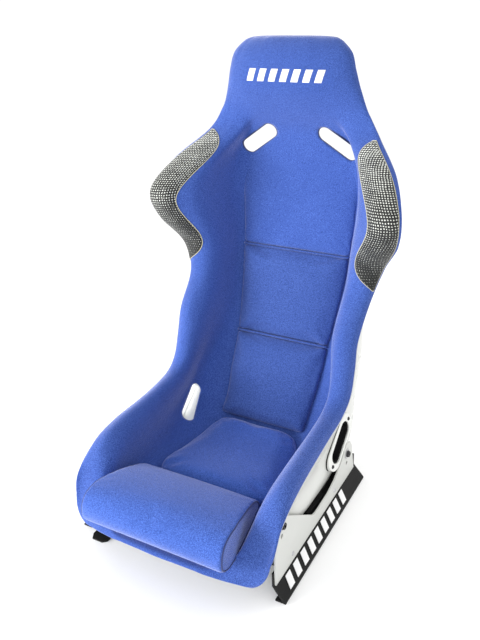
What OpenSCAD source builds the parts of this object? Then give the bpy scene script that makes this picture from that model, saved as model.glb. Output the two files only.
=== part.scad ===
// Fixed-back racing bucket seat on steel side mounts.
// The seat faces -Y, +Z is up and +X is the left-hand side of the sitter.
// The origin is on the floor, under the middle of the whole seat.

/* [Bucket] */
// Thickness of the glass-fibre shell
shell_t = 5; // [4:0.5:7]
// Thickness of the velour cover with its backing
cover_t = 3; // [2:0.5:4]
// Clearance between pieces that lie on each other
gap = 0.3; // [0.2:0.1:0.6]

/* [Pads] */
// Thickness of the upper back panel
upper_pad_t = 12; // [8:1:18]
// Thickness of the middle and lower back pads
back_pad_t = 22; // [14:1:28]
// Thickness of the flat seat pad
seat_pad_t = 26; // [18:1:32]
// Height of the thigh cushion over the seat pan at its crest
thigh_pad_h = 68; // [50:1:76]

/* [Belt openings] */
// Length of a shoulder belt opening
shoulder_slot_l = 104; // [80:1:110]
// Width of a shoulder belt opening
shoulder_slot_w = 36; // [26:1:40]
// Slope of the shoulder belt openings, falling outwards
shoulder_slot_angle = 34; // [20:1:45]
// Length of a lap belt opening
lap_slot_l = 84; // [70:1:90]
// Width of a lap belt opening
lap_slot_w = 26; // [20:1:32]
// Slope of the lap belt openings, rising rearwards
lap_slot_angle = 38; // [30:1:50]

/* [Side mounts] */
// Distance between the two side plates, inner face to inner face
plate_gap = 400; // [390:1:410]
// Sheet thickness of the side plates and base rails
sheet_t = 3; // [3:0.5:4]
// Distance between the front and the rear seat bolt
bolt_pitch = 298; // [290:1:300]
// Diameter of the seat bolt holes
bolt_hole_d = 8.5; // [8.2:0.1:9]
// Distance between the front and the rear floor bolt
floor_pitch = 250; // [240:1:260]
// Distance between the floor bolts of the two rails
floor_track = 350; // [340:1:360]
// Diameter of the floor bolt holes
floor_hole_d = 9; // [8.5:0.5:10]

/* [Hidden] */

// Everything is laid out from the front edge of the lumbar pad and then
// moved, so that the origin lies under the middle of the seat.
shift_y = 177;

// Stations along the seat's middle, from the top of the head to the front lip:
// middle of the floor (y, z), bolster edge (x, y, z), facing angle of the
// bolster roll, height of the roll, width of the roll, half width of the flat
// floor, share of head shape against bowl shape, set-in of the shell's wall,
// depth of the foam behind the floor, share of hollowing beside the hips, set-back
// of the roll's inner side as a share of the wall's depth.
STATIONS = [
    [  78, 938,  104,   80, 934,   80,  2,  40,  60, 1.00, 16,  8,  0, 0],
    [  58, 933,  119,   74, 926,   45,  3,  45,  70, 1.00, 16, 22,  0, 0],
    [  40, 905,  140,   66, 903,   12,  4,  50,  80, 1.00, 16, 38,  0, 0],
    [  34, 868,  150,   63, 868,    4,  4,  55,  90, 1.00, 16, 46,  0, 0],
    [  40, 828,  160,   67, 828,    0,  5,  60, 105, 1.00, 18, 46,  0, 0],
    [  66, 780,  177,   72, 778,   -4,  8,  74, 125, 0.80, 26, 26,  0, 0.02],
    [  98, 728,  208,   63, 728,   -3, 14,  82, 145, 0.35, 36, 11,  0, 0.05],
    [ 110, 670,  264,    0, 666,    0, 18,  92, 156, 0.05, 50, 11,  0, 0.09],
    [ 112, 605,  293,  -56, 602,    0, 18, 103, 152, 0.00, 62, 16,  0, 0.12],
    [ 107, 540,  284,  -40, 538,    0, 18, 107, 147, 0.00, 58, 20,  0, 0.11],
    [  97, 475,  246,   -2, 474,    3, 18,  86, 142, 0.00, 42, 20,  0, 0.03],
    [  82, 410,  223,  -12, 408,    4, 18,  66, 136, 0.00, 40, 18,  0, 0],
    [  55, 335,  216,  -66, 340,    8, 18,  67, 127, 0.00, 34, 18, 0.2, 0],
    [  22, 262,  216,  -82, 284,   16, 18,  65, 118, 0.00, 28, 22, 0.6, 0],
    [ -18, 190,  215, -100, 232,   28, 18,  63, 114, 0.00, 26, 30, 1.0, 0],
    [ -62, 122,  212, -134, 204,   46, 17,  62, 106, 0.00, 25, 76, 1.0, 0],
    [-118,  84,  210, -190, 192,   66, 16,  60, 110, 0.00, 24, 42, 1.0, 0],
    [-190,  72,  211, -248, 185,   78, 16,  59, 124, 0.00, 24, 24, 0.7, 0],
    [-280,  74,  214, -318, 179,   84, 16,  58, 138, 0.00, 25, 18, 0.3, 0],
    [-360,  80,  215, -376, 164,   96, 16,  57, 150, 0.00, 26, 16,  0, 0],
    [-425,  78,  212, -418, 134,  125, 15,  54, 152, 0.15, 24, 14,  0, 0],
    [-456,  76,  205, -437,  92,  155, 12,  50, 150, 0.40, 20, 12,  0, 0],
    [-468,  62,  176, -451,  52,  180,  6,  46, 130, 0.80, 16, 10,  0, 0]
];
LAST = len(STATIONS) - 1;
PY = 0; PZ = 1; EX = 2; EY = 3; EZ = 4; TH = 5; RH = 6; RW = 7; FX = 8; HD = 9; SI = 10; FD = 11; HH = 12; SB = 13;

// Places on the station scale
V_TOP = 0;
V_HEAD_END = 5.2;
V_UPPER_TOP = 6.8;
V_SEAM_1 = 10.33;
V_SEAM_2 = 13;
V_BEND = 15.45;
V_THIGH = 18.35;

pad_rim = 0.45;        // share of a pad's thickness left at its edge

slot_x = 97;           // middle of a shoulder opening
slot_z = 708;
slot_liner_h = 30;     // depth of a shoulder opening's liner
lap_y = -114;          // middle of a lap opening
lap_z = 130;
lap_wall_x = 192;      // outer face of the shell at the lap opening
// Places across a bolster, closest together where its foot curves
BOLSTER_U = [0.25, 0.30, 0.34, 0.38, 0.42, 0.46, 0.52, 0.60, 0.70, 0.82, 0.97];
bezel_h = 9;           // height of a lap opening's bezel over the shell, along its middle
bezel_tilt = 12;       // turn of the bezel's face, up and forwards
hip_foam = 10;         // foam and cover on the shell's wall beside the hips

plate_x = plate_gap / 2;
bolt_rear = [-84, 86];
bolt_front = [bolt_rear[0] - bolt_pitch, 132];
spare_drop = 22;       // spare bolt holes below the used ones
rail_front = -408;
rail_rear = -32;
rail_top_z = 27;
rail_out_x = 223;
rivet_y = [-340, -150];
rivet_z = 42;
flange_in_x = 148;
flange_front = -340;
floor_bolt_y = [-310, -310 + floor_pitch];

function mix(a, b, t) = a + (b - a) * t;

// Catmull-Rom blend of four values or lists
function blend(a, b, c, d, t) =
    0.5 * (2 * b + (c - a) * t + (2 * a - 5 * b + 4 * c - d) * t * t + (3 * b - a - 3 * c + d) * t * t * t);

// Station values at any place v on the station scale
function station(v) =
    let (i = min(floor(v), LAST - 1))
    blend(STATIONS[max(i - 1, 0)], STATIONS[i], STATIONS[i + 1], STATIONS[min(i + 2, LAST)], v - i);

// Half section of the padded surface as [x, share of the way to the bolster edge, lift]
function bowl_section(s) =
    let (e = s[EX], w = s[RW], x = e - w, f = s[FX], h = s[RH], b = s[SB], hip = e - s[SI] - hip_foam)
    [[0, 0, 0], [0.45 * f, 0, 0], [0.9 * f, 0.01, 0],
     [mix(mix(f, x, 0.5), hip, s[HH]), mix(0.26, 0.3, s[HH]), 0],
     [mix(x - 3, 0.5 * (x + hip), s[HH]), mix(0.74, 0.72, s[HH]), 0.2 * h],
     [x + 0.16 * w, 0.96 - b, 0.62 * h], [x + 0.52 * w, 1 - 0.45 * b, h], [x + 0.86 * w, 1, 0.72 * h], [e, 1, 0]];

function head_section(s) =
    let (e = s[EX])
    [[0, 0, 0], [0.16 * e, 0, 0], [0.34 * e, 0.02, 0], [0.5 * e, 0.06, 0], [0.64 * e, 0.14, 0],
     [0.77 * e, 0.28, 0], [0.89 * e, 0.52, 0], [0.965 * e, 0.78, 0], [e, 1.1, 0]];

function cover_section(s) = mix(bowl_section(s), head_section(s), s[HD]);

// Half section of the shell's inner face, in the same terms
function shell_bowl(s) =
    let (e = s[EX], w = e - s[SI], f = s[FX], d = -s[FD])
    [[0, 0, d], [0.5 * f, 0, d], [f, 0, 0.98 * d], [w - 14, 0, 0.84 * d], [w - 1, 0.12, 0.4 * d],
     [w, 0.4, 0], [mix(w, e, 0.2), 0.65, 0], [mix(w, e, 0.6), 0.85, 0], [e - 4, 0.97, 0]];

function shell_head(s) =
    let (e = s[EX], d = -s[FD])
    [[0, 0, d], [0.2 * e, 0, d], [0.4 * e, 0, d], [0.55 * e, 0, 0.96 * d], [0.7 * e, 0, 0.9 * d],
     [0.8 * e, 0.1, 0.8 * d], [0.88 * e, 0.2, 0.66 * d], [0.94 * e, 0.5, 0.42 * d], [e - 3, 1, 0.16 * d]];

function shell_section(s) = mix(shell_bowl(s), shell_head(s), s[HD]);

// Point on a half section at u from 0, the middle, to 1, the edge
function along(p, u) =
    let (n = len(p) - 1, k = u * n, i = min(floor(k), n - 1),
         a = i > 0 ? p[i - 1] : [-p[1][0], p[1][1], p[1][2]],
         d = i + 2 <= n ? p[i + 2] : 2 * p[n] - p[n - 1])
    blend(a, p[i], p[i + 1], d, k - i);

// Section point [x, share, lift] of station s set out in space, on the side of u
function set_out(s, c, u) =
    [sign(u) * c[0],
     mix(s[PY], s[EY], c[1]) - cos(s[TH]) * c[2],
     mix(s[PZ], s[EZ], c[1]) + sin(s[TH]) * c[2]];

function steps(a, b, n) = [for (i = [0 : n]) mix(a, b, i / n)];

// Grids of points, one row per u and one column per v
function cover_grid(us, vs) =
    let (ss = [for (v = vs) station(v)], cs = [for (s = ss) cover_section(s)])
    [for (u = us) [for (j = [0 : len(vs) - 1]) set_out(ss[j], along(cs[j], abs(u)), u)]];

function shell_grid(us, vs) =
    let (ss = [for (v = vs) station(v)], cs = [for (s = ss) shell_section(s)])
    [for (u = us) [for (j = [0 : len(vs) - 1]) set_out(ss[j], along(cs[j], abs(u)), u)]];

function unit(v) = v / max(norm(v), 0.001);

// Grid moved along its own normals, away from the sitter
function pushed(g, t) =
    let (n = len(g) - 1, m = len(g[0]) - 1)
    [for (i = [0 : n]) [for (j = [0 : m])
        let (du = g[min(i + 1, n)][j] - g[max(i - 1, 0)][j], dv = g[i][min(j + 1, m)] - g[i][max(j - 1, 0)])
        g[i][j] + t * unit(cross(du, dv))]];

// Closed solid between a front grid and a back grid of the same size
module slab(front, back) {
    n = len(front);
    m = len(front[0]);
    function f(i, j) = i * m + j;
    function b(i, j) = n * m + i * m + j;
    quads = concat(
        [for (i = [0 : n - 2], j = [0 : m - 2]) [f(i, j), f(i + 1, j), f(i + 1, j + 1), f(i, j + 1)]],
        [for (i = [0 : n - 2], j = [0 : m - 2]) [b(i, j), b(i, j + 1), b(i + 1, j + 1), b(i + 1, j)]],
        [for (j = [0 : m - 2]) [f(0, j), f(0, j + 1), b(0, j + 1), b(0, j)]],
        [for (j = [0 : m - 2]) [f(n - 1, j), b(n - 1, j), b(n - 1, j + 1), f(n - 1, j + 1)]],
        [for (i = [0 : n - 2]) [f(i, 0), b(i, 0), b(i + 1, 0), f(i + 1, 0)]],
        [for (i = [0 : n - 2]) [f(i, m - 1), f(i + 1, m - 1), b(i + 1, m - 1), b(i, m - 1)]]
    );
    translate([0, shift_y, 0])
        polyhedron(
            [for (row = front) each row, for (row = back) each row],
            [for (q = quads) each [[q[0], q[1], q[2]], [q[0], q[2], q[3]]]]
        );
}

// Long hole or ring outline, lying along X
module stadium(l, w, h) {
    translate([-(l - w) / 2, 0, 0]) cylinder(h = h, d = w, center = true, $fn = 48);
    translate([(l - w) / 2, 0, 0]) cylinder(h = h, d = w, center = true, $fn = 48);
    cube([l - w, w, h], center = true);
}

// Places something at a shoulder opening, its Z axis pointing rearwards
module at_shoulder_slot(side) {
    translate([side * slot_x, shift_y + 100, slot_z])
        rotate([-90, 0, 0])
            rotate([0, 0, side * shoulder_slot_angle])
                children();
}

// Places something at a lap opening, its Z axis pointing outwards
module at_lap_slot(side) {
    translate([side * lap_wall_x, shift_y + lap_y, lap_z])
        rotate([0, 0, side > 0 ? 90 : -90])
            rotate([90, 0, 0])
                rotate([0, 0, side > 0 ? lap_slot_angle : -lap_slot_angle])
                    children();
}

module belt_openings(spare) {
    for (side = [-1, 1]) {
        at_shoulder_slot(side) stadium(shoulder_slot_l + spare, shoulder_slot_w + spare, 160);
        at_lap_slot(side) stadium(lap_slot_l + spare, lap_slot_w + spare, 130);
    }
}

// Places something at each seat bolt, its Z axis pointing outwards
module at_bolts(sides = [-1, 1], drops = [0]) {
    for (side = sides, p = [bolt_front, bolt_rear], drop = drops)
        translate([side * plate_x, shift_y + p[0], p[1] - drop])
            rotate([0, side * 90, 0])
                children();
}

module shell() {
    us = steps(-1, 1, 32);
    vs = steps(0.15, LAST - 2.2, 42);
    inner = shell_grid(us, vs);
    color("whitesmoke")
        difference() {
            slab(inner, pushed(inner, shell_t));
            belt_openings(4);
        }
}

module velour_cover() {
    g = cover_grid(steps(-1, 1, 40), steps(V_TOP, LAST, 48));
    color("royalblue")
        difference() {
            slab(g, pushed(g, cover_t));
            belt_openings(0);
        }
}

// Foam filling between the cover and the shell
module foam(us, vs, spare = 0) {
    slab(pushed(cover_grid(us, vs), cover_t + gap + spare), pushed(shell_grid(us, vs), -gap));
}

module foam_head() {
    color("lightyellow") foam(steps(-0.86, 0.86, 14), steps(0.9, V_HEAD_END, 8));
}

module foam_back() {
    color("lightyellow")
        difference() {
            foam(steps(-0.24, 0.24, 4), steps(V_HEAD_END + 0.02, V_BEND, 16));
            belt_openings(4);
        }
}

module foam_seat() {
    color("lightyellow") foam(steps(-0.24, 0.24, 4), steps(V_BEND + 0.02, LAST - 2.3, 8));
}

module foam_bolster(side) {
    last = len(BOLSTER_U) - 1;
    us = [for (i = [0 : last]) side > 0 ? BOLSTER_U[i] : -BOLSTER_U[last - i]];
    color("lightyellow")
        difference() {
            foam(us, steps(V_HEAD_END + 0.02, LAST - 2.3, 30), 0.5);
            belt_openings(4);
        }
}

// Stiff foam that fills the rolled front lip, ahead of the shell's edge
module foam_lip() {
    g = cover_grid(steps(-0.93, 0.93, 20), steps(LAST - 2.15, LAST - 0.15, 6));
    color("lightyellow") slab(pushed(g, cover_t + gap), pushed(g, cover_t + 6));
}

// Pad lying on the floor of the bucket between two places on the station scale
module floor_pad(v0, v1, t, side_gap, n) {
    vs = steps(v0, v1, n);
    ss = [for (v = vs) station(v)];
    fs = [for (k = [-6 : 6]) sin(15 * k)];
    function floor_point(j, f, h) =
        let (a = ss[max(j - 1, 0)], b = ss[min(j + 1, n)],
             d = unit([b[PY] - a[PY], b[PZ] - a[PZ]]))
        [f * (0.94 * ss[j][FX] - side_gap), ss[j][PY] + d[1] * h, ss[j][PZ] - d[0] * h];
    function height(j, f) = t * mix(pad_rim, 1, sqrt(1 - pow(abs(f), 8)) * sqrt(1 - pow(abs(2 * j / n - 1), 10)));
    slab([for (f = fs) [for (j = [0 : n]) floor_point(j, f, height(j, f))]],
         [for (f = fs) [for (j = [0 : n]) floor_point(j, f, 2.6)]]);
}

module upper_back_pad() {
    color("cornflowerblue") floor_pad(V_UPPER_TOP, V_SEAM_1 - 0.01, upper_pad_t, 1, 14);
}

module middle_back_pad() {
    color("cornflowerblue") floor_pad(V_SEAM_1 + 0.01, V_SEAM_2 - 0.01, back_pad_t, 1, 12);
}

module lower_back_pad() {
    color("cornflowerblue") floor_pad(V_SEAM_2 + 0.01, V_BEND - 0.02, back_pad_t, 1, 12);
}

module seat_pad() {
    color("cornflowerblue") floor_pad(V_BEND + 0.33, V_THIGH - 0.02, seat_pad_t, 2, 12);
}

// Wedge cushion under the thighs: upper and lower outlines in (y, z), swept across the seat
module thigh_pad() {
    back_y = -316;
    nose_y = -488;
    pan_z = 84;
    crest = pan_z + thigh_pad_h;
    upper = [[back_y, 100], [back_y - 4, 114], [back_y - 44, crest - 18], [back_y - 90, crest - 4],
             [back_y - 134, crest - 4], [nose_y + 12, crest - 16]];
    lower = [[-360, 90], [-420, 90], [nose_y + 34, 90], [nose_y + 8, 96], [nose_y, crest - 44],
             [nose_y + 1, crest - 30]];
    function half_width(y) = mix(126, 150, min(1, (back_y - y) / 130));
    function swept(outline) =
        [for (k = [-6 : 6]) [for (p = outline) [sin(15 * k) * half_width(p[0]), p[0], p[1]]]];
    color("cornflowerblue") slab(swept(upper), swept(lower));
}

// Woven panel on the front face of a shoulder wing, with a waist in the middle
module shoulder_patch(side) {
    n = 18;
    vs = steps(6.0, 10.72, n);
    ss = [for (v = vs) station(v)];
    function inner(j) = let (t = 2 * j / n - 1) 0.657 + 0.045 * cos(250 * t) + 0.05 * t + 0.25 * pow(abs(t), 6);
    function outer(v) = mix(0.968, 0.89, min(1, max(0, (7.9 - v) / 1.6)));
    g = [for (i = [0 : 6]) [for (j = [0 : n])
        set_out(ss[j], along(cover_section(ss[j]), mix(inner(j), outer(vs[j]), i / 6)), 1)]];
    color("darkgray")
        mirror([side > 0 ? 0 : 1, 0, 0])
            slab(pushed(g, -2.6), pushed(g, -gap));
}

// Row of slanted bars, the decoration on the head and on the rails
module bars(count, pitch, w, h, t, slant) {
    for (i = [0 : count - 1])
        translate([(i - (count - 1) / 2) * pitch, 0, 0])
            linear_extrude(t, center = true)
                polygon([[-w / 2 - slant, -h / 2], [w / 2 - slant, -h / 2], [w / 2 + slant, h / 2], [-w / 2 + slant, h / 2]]);
}

module head_emblem() {
    color("white")
        translate([0, shift_y + 34, 856])
            rotate([87, 0, 0])
                bars(7, 27, 15, 27, 1.6, 5);
}

module shoulder_slot_liner(side) {
    color("midnightblue")
        at_shoulder_slot(side)
            translate([0, 0, 10])
                difference() {
                    stadium(shoulder_slot_l, shoulder_slot_w, slot_liner_h);
                    stadium(shoulder_slot_l - 4, shoulder_slot_w - 4, slot_liner_h + 4);
                }
}

module lap_slot_bezel(side) {
    color("gainsboro")
        at_lap_slot(side)
            difference() {
                union() {
                    intersection() {
                        translate([0, 0, bezel_h - 7])
                            rotate([-bezel_tilt, 0, 0]) stadium(lap_slot_l + 36, lap_slot_w + 20, 14);
                        translate([0, 0, 21.5]) cube([200, 100, 40], center = true);
                    }
                    translate([0, 0, -6]) stadium(lap_slot_l + 3.4, lap_slot_w + 3.4, 18);
                }
                translate([0, 0, -12]) stadium(lap_slot_l - 2, lap_slot_w - 2, 80);
                translate([0, 0, bezel_h])
                    rotate([-bezel_tilt, 0, 0]) stadium(lap_slot_l + 5, lap_slot_w + 7, 6);
                for (e = [-1, 1])
                    translate([e * (lap_slot_l + 19) / 2, 0, 0]) cylinder(h = 40, d = 4, center = true, $fn = 32);
            }
}

module bezel_screws() {
    color("dimgray")
        for (side = [-1, 1])
            at_lap_slot(side)
                for (e = [-1, 1])
                    translate([e * (lap_slot_l + 19) / 2, 0, 0]) {
                        translate([0, 0, -4]) cylinder(h = bezel_h + 5, d = 3.9, $fn = 32);
                        translate([0, 0, bezel_h + 0.05])
                            rotate([-bezel_tilt, 0, 0]) cylinder(h = 2, d1 = 8, d2 = 5.5, $fn = 32);
                    }
}

// Steel plate laminated inside the shell's wall, carrying the threaded inserts
module insert_plate(side) {
    color("slategray")
        for (p = [bolt_front, bolt_rear])
            translate([side * (plate_x - 18), shift_y + p[0], p[1] - spare_drop / 2])
                rotate([0, side * 90, 0])
                    difference() {
                        cube([54, 34, sheet_t], center = true);
                        for (drop = [0, spare_drop])
                            translate([drop - spare_drop / 2, 0, 0])
                                cylinder(h = 10, d = 11, center = true, $fn = 48);
                    }
}

module threaded_inserts() {
    color("goldenrod")
        at_bolts(drops = [0, spare_drop])
            translate([0, 0, -22])
                difference() {
                    cylinder(h = 11, d = 11, $fn = 48);
                    translate([0, 0, -1]) cylinder(h = 13, d = 8, $fn = 48);
                }
}

module fastener_strips() {
    color("black")
        for (p = [[9, 9.5], [10.8, 11.3], [12.2, 12.7], [13.5, 14], [14.6, 15.1], [16.3, 16.7], [17.6, 18]], side = [-1, 1])
            let (vs = steps(p[0], p[1], 2), us = side > 0 ? [0.08, 0.14] : [-0.14, -0.08])
            slab(pushed(cover_grid(us, vs), -2.3), pushed(cover_grid(us, vs), -gap));
}

// Outline of a side plate in (y, z): tall front arm, notch, rear arm
function plate_outline() = [
    [-404, rail_top_z], [-408, 110], [-404, 144], [-392, 152], [-376, 146], [-300, 92], [-254, 59],
    [-240, 55], [-184, 56], [-150, 64], [-122, 78], [-106, 90], [-96, 102], [-82, 107], [-66, 104],
    [-56, 90], [-42, rail_top_z]];

module side_plate(side) {
    color("lightgray")
        difference() {
            translate([side > 0 ? plate_x : -plate_x - sheet_t, shift_y, 0])
                rotate([90, 0, 90]) linear_extrude(sheet_t) polygon(plate_outline());
            at_bolts([side], [0, spare_drop])
                cylinder(h = 20, d = bolt_hole_d, center = true, $fn = 48);
            for (y = rivet_y)
                translate([side * plate_x, shift_y + y, rivet_z])
                    rotate([0, 90, 0]) cylinder(h = 20, d = 5, center = true, $fn = 32);
        }
}

// Folded rail: web behind the side plate, sloping outer face, narrow foot and,
// further back, a wide floor flange. One rail's flange runs on forwards as a tongue.
module base_rail(side, tongue) {
    t = sheet_t;
    x0 = plate_x - gap;
    x1 = rail_out_x;
    foot_x = x1 - 20;
    fold = [[x0 - t, rail_top_z + 26], [x0, rail_top_z + 26], [x0, rail_top_z + 1], [x1, t], [x1, 0],
            [foot_x, 0], [foot_x, t], [x1 - 7, t], [x0 - t, rail_top_z]];
    module flange(points) {
        translate([0, shift_y, 0])
            linear_extrude(t) polygon([for (p = points) [side * p[0], p[1]]]);
    }
    color("black")
        difference() {
            union() {
                translate([0, shift_y + rail_rear, 0])
                    rotate([90, 0, 0])
                        linear_extrude(rail_rear - rail_front)
                            polygon([for (p = fold) [side * p[0], p[1]]]);
                flange([[x1 - 1, rail_rear], [flange_in_x, rail_rear], [flange_in_x, flange_front + 14],
                        [flange_in_x + 10, flange_front], [x1 - 1, flange_front]]);
                if (tongue)
                    flange([[188, flange_front + 4], [flange_in_x + 2, flange_front + 20],
                            [flange_in_x + 2, -424], [flange_in_x + 10, -431], [181, -431], [188, -420]]);
            }
            for (y = floor_bolt_y)
                translate([side * floor_track / 2, shift_y + y, 0])
                    cylinder(h = 20, d = floor_hole_d, center = true, $fn = 48);
            for (y = rivet_y)
                translate([side * plate_x, shift_y + y, rivet_z])
                    rotate([0, 90, 0]) cylinder(h = 30, d = 5, center = true, $fn = 32);
        }
}

module rail_rivets() {
    color("silver")
        for (side = [-1, 1], y = rivet_y)
            translate([side * (plate_x - sheet_t), shift_y + y, rivet_z])
                rotate([0, side * 90, 0]) {
                    translate([0, 0, -2]) cylinder(h = 8, d = 4.8, $fn = 32);
                    translate([0, 0, 6]) cylinder(h = 2, d1 = 9, d2 = 6, $fn = 32);
                    translate([0, 0, -3]) cylinder(h = 2, d = 8, $fn = 32);
                }
}

// Raised white bars along the sloping face of a rail
module rail_bars(side) {
    slope = atan2(rail_top_z + 1 - sheet_t, rail_out_x - plate_x + gap);
    color("white")
        translate([side * (rail_out_x + plate_x) / 2, shift_y + (rail_front + rail_rear) / 2 - 30, (rail_top_z + sheet_t) / 2])
            rotate([0, side * slope, 0])
                translate([0, 0, 1.5])
                    rotate([0, 0, side > 0 ? 90 : -90])
                        bars(9, 30, 17, 21, 1, 4 * side);
}

module seat_bolts() {
    color("dimgray")
        at_bolts()
            difference() {
                union() {
                    translate([0, 0, -20]) cylinder(h = 26, d = 7.9, $fn = 48);
                    translate([0, 0, sheet_t + 2]) cylinder(h = 5, d1 = 14, d2 = 11, $fn = 48);
                }
                translate([0, 0, sheet_t + 4]) cylinder(h = 6, d = 6, $fn = 6);
            }
}

module bolt_washers() {
    color("silver")
        at_bolts()
            translate([0, 0, sheet_t])
                difference() {
                    cylinder(h = 2, d = 20, $fn = 48);
                    translate([0, 0, -1]) cylinder(h = 4, d = bolt_hole_d, $fn = 48);
                }
}

module bolt_spacers() {
    color("black")
        at_bolts(drops = [0, spare_drop])
            translate([0, 0, -10])
                difference() {
                    cylinder(h = 10 - gap, d = 20, $fn = 48);
                    translate([0, 0, -1]) cylinder(h = 12, d = bolt_hole_d, $fn = 48);
                }
}

shell();
velour_cover();
foam_head();
foam_back();
foam_seat();
foam_bolster(1);  // foam_bolster_left
foam_bolster(-1);  // foam_bolster_right
foam_lip();
upper_back_pad();
middle_back_pad();
lower_back_pad();
seat_pad();
thigh_pad();
shoulder_patch(1);  // shoulder_patch_left
shoulder_patch(-1);  // shoulder_patch_right
head_emblem();
shoulder_slot_liner(1);  // shoulder_slot_liner_left
shoulder_slot_liner(-1);  // shoulder_slot_liner_right
lap_slot_bezel(1);  // lap_slot_bezel_left
lap_slot_bezel(-1);  // lap_slot_bezel_right
bezel_screws();
insert_plate(1);  // insert_plate_left
insert_plate(-1);  // insert_plate_right
fastener_strips();
side_plate(1);  // side_plate_left
side_plate(-1);  // side_plate_right
base_rail(1, false);  // base_rail_left
base_rail(-1, true);  // base_rail_right
rail_bars(1);  // rail_bars_left
rail_bars(-1);  // rail_bars_right
rail_rivets();
seat_bolts();
bolt_washers();
bolt_spacers();
threaded_inserts();
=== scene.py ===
import math

import bpy
import numpy as np
from mathutils import Matrix, Vector
from mathutils.bvhtree import BVHTree


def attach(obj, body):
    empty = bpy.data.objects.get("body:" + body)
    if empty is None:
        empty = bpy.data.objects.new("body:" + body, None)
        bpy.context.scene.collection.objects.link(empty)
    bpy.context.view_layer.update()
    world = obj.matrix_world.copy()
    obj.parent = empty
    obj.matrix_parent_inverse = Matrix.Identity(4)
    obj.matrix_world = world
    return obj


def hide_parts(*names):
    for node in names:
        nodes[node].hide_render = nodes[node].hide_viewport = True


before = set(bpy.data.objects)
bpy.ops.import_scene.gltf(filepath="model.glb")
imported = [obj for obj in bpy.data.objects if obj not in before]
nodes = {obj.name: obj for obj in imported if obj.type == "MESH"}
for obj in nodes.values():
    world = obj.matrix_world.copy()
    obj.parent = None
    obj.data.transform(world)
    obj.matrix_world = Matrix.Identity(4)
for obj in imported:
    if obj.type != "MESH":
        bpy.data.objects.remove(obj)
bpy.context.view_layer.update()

scene = bpy.context.scene

# ---------------- the padded surface
# Stations along the seat's middle, from the top of the head to the front lip, in millimetres:
# middle of the floor (y, z), bolster edge (x, y, z), facing angle of the bolster roll, height and
# width of the roll, half width of the flat floor, share of head shape, set-in of the shell's wall,
# depth of the foam behind the floor, share of hollowing beside the hips, set-back of the roll's
# inner side as a share of the wall's depth.
STATIONS = np.array([
    [78, 938, 104, 80, 934, 80, 2, 40, 60, 1.00, 16, 8, 0, 0],
    [58, 933, 119, 74, 926, 45, 3, 45, 70, 1.00, 16, 22, 0, 0],
    [40, 905, 140, 66, 903, 12, 4, 50, 80, 1.00, 16, 38, 0, 0],
    [34, 868, 150, 63, 868, 4, 4, 55, 90, 1.00, 16, 46, 0, 0],
    [40, 828, 160, 67, 828, 0, 5, 60, 105, 1.00, 18, 46, 0, 0],
    [66, 780, 177, 72, 778, -4, 8, 74, 125, 0.80, 26, 26, 0, 0.02],
    [98, 728, 208, 63, 728, -3, 14,  82, 145, 0.35, 36, 11, 0, 0.05],
    [110, 670, 264, 0, 666, 0, 18,  92, 156, 0.05, 50, 11, 0, 0.09],
    [112, 605, 293, -56, 602, 0, 18, 103, 152, 0.00, 62, 16, 0, 0.12],
    [107, 540, 284, -40, 538, 0, 18, 107, 147, 0.00, 58, 20, 0, 0.11],
    [97, 475, 246, -2, 474, 3, 18,  86, 142, 0.00, 42, 20, 0, 0.03],
    [82, 410, 223, -12, 408, 4, 18,  66, 136, 0.00, 40, 18, 0, 0],
    [55, 335, 216, -66, 340, 8, 18, 67, 127, 0.00, 34, 18, 0.12, 0],
    [22, 262, 216, -82, 284, 16, 18, 65, 118, 0.00, 28, 22, 0.38, 0],
    [-18, 190, 215, -100, 232, 28, 18, 63, 114, 0.00, 26, 30, 0.8, 0],
    [-62, 122, 212, -134, 204, 46, 17, 62, 106, 0.00, 25, 76, 1.0, 0],
    [-118, 84, 210, -190, 192, 66, 16, 60, 110, 0.00, 24, 42, 1.0, 0],
    [-190, 72, 211, -248, 185, 78, 16, 59, 124, 0.00, 24, 24, 0.7, 0],
    [-280, 74, 214, -318, 179, 84, 16, 58, 138, 0.00, 25, 18, 0.3, 0],
    [-360, 80, 215, -376, 164, 96, 16, 57, 150, 0.00, 26, 16, 0, 0],
    [-425, 78, 212, -418, 134, 125, 15, 54, 152, 0.15, 24, 14, 0, 0],
    [-456, 76, 205, -437, 92, 155, 12, 50, 150, 0.40, 20, 12, 0, 0],
    [-468, 62, 176, -451, 52, 180, 6, 46, 130, 0.80, 16, 10, 0, 0],
])
PY, PZ, EX, EY, EZ, TH, RH, RW, FX, HD, SI, FD, HH, SB = range(14)
LAST = len(STATIONS) - 1
MM = 0.001
SHIFT_Y = 177  # the part's own offset along Y, mm
# Stations at the pads' ends.
V_UPPER_TOP, V_SEAM_1, V_SEAM_2, V_BEND, V_THIGH = 7.15, 10.33, 13, 15.45, 18.35
HIP_FOAM = 10  # foam between the hollow beside the hips and the shell's wall, mm
COVER_T = 3  # thickness of the velour cover, mm
SHELL_T = 5  # thickness of the shell, mm


def mix(a, b, t):
    return a + (b - a) * t


def eased(t):
    """Share t with a soft start and end."""
    return t**2 * (3 - 2 * t)


def side_name(side):
    """The sitter's left is +X."""
    return "left" if side > 0 else "right"


def catmull(a, b, c, d, t):
    return 0.5 * (2 * b + (c - a) * t + (2 * a - 5 * b + 4 * c - d) * t**2 + (3 * b - a - 3 * c + d) * t**3)


def station(v):
    """Station values, one row per place in v."""
    i = np.minimum(np.floor(v).astype(int), LAST - 1)
    rows = [STATIONS[np.clip(i + k, 0, LAST)] for k in (-1, 0, 1, 2)]
    return catmull(*rows, (v - i)[:, None])


def section(points):
    """Stacks [x, share, lift] control points into one array, a row per station."""
    return np.stack([np.stack([np.broadcast_to(c, points[1][0].shape) for c in p], -1) for p in points], 1)


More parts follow.
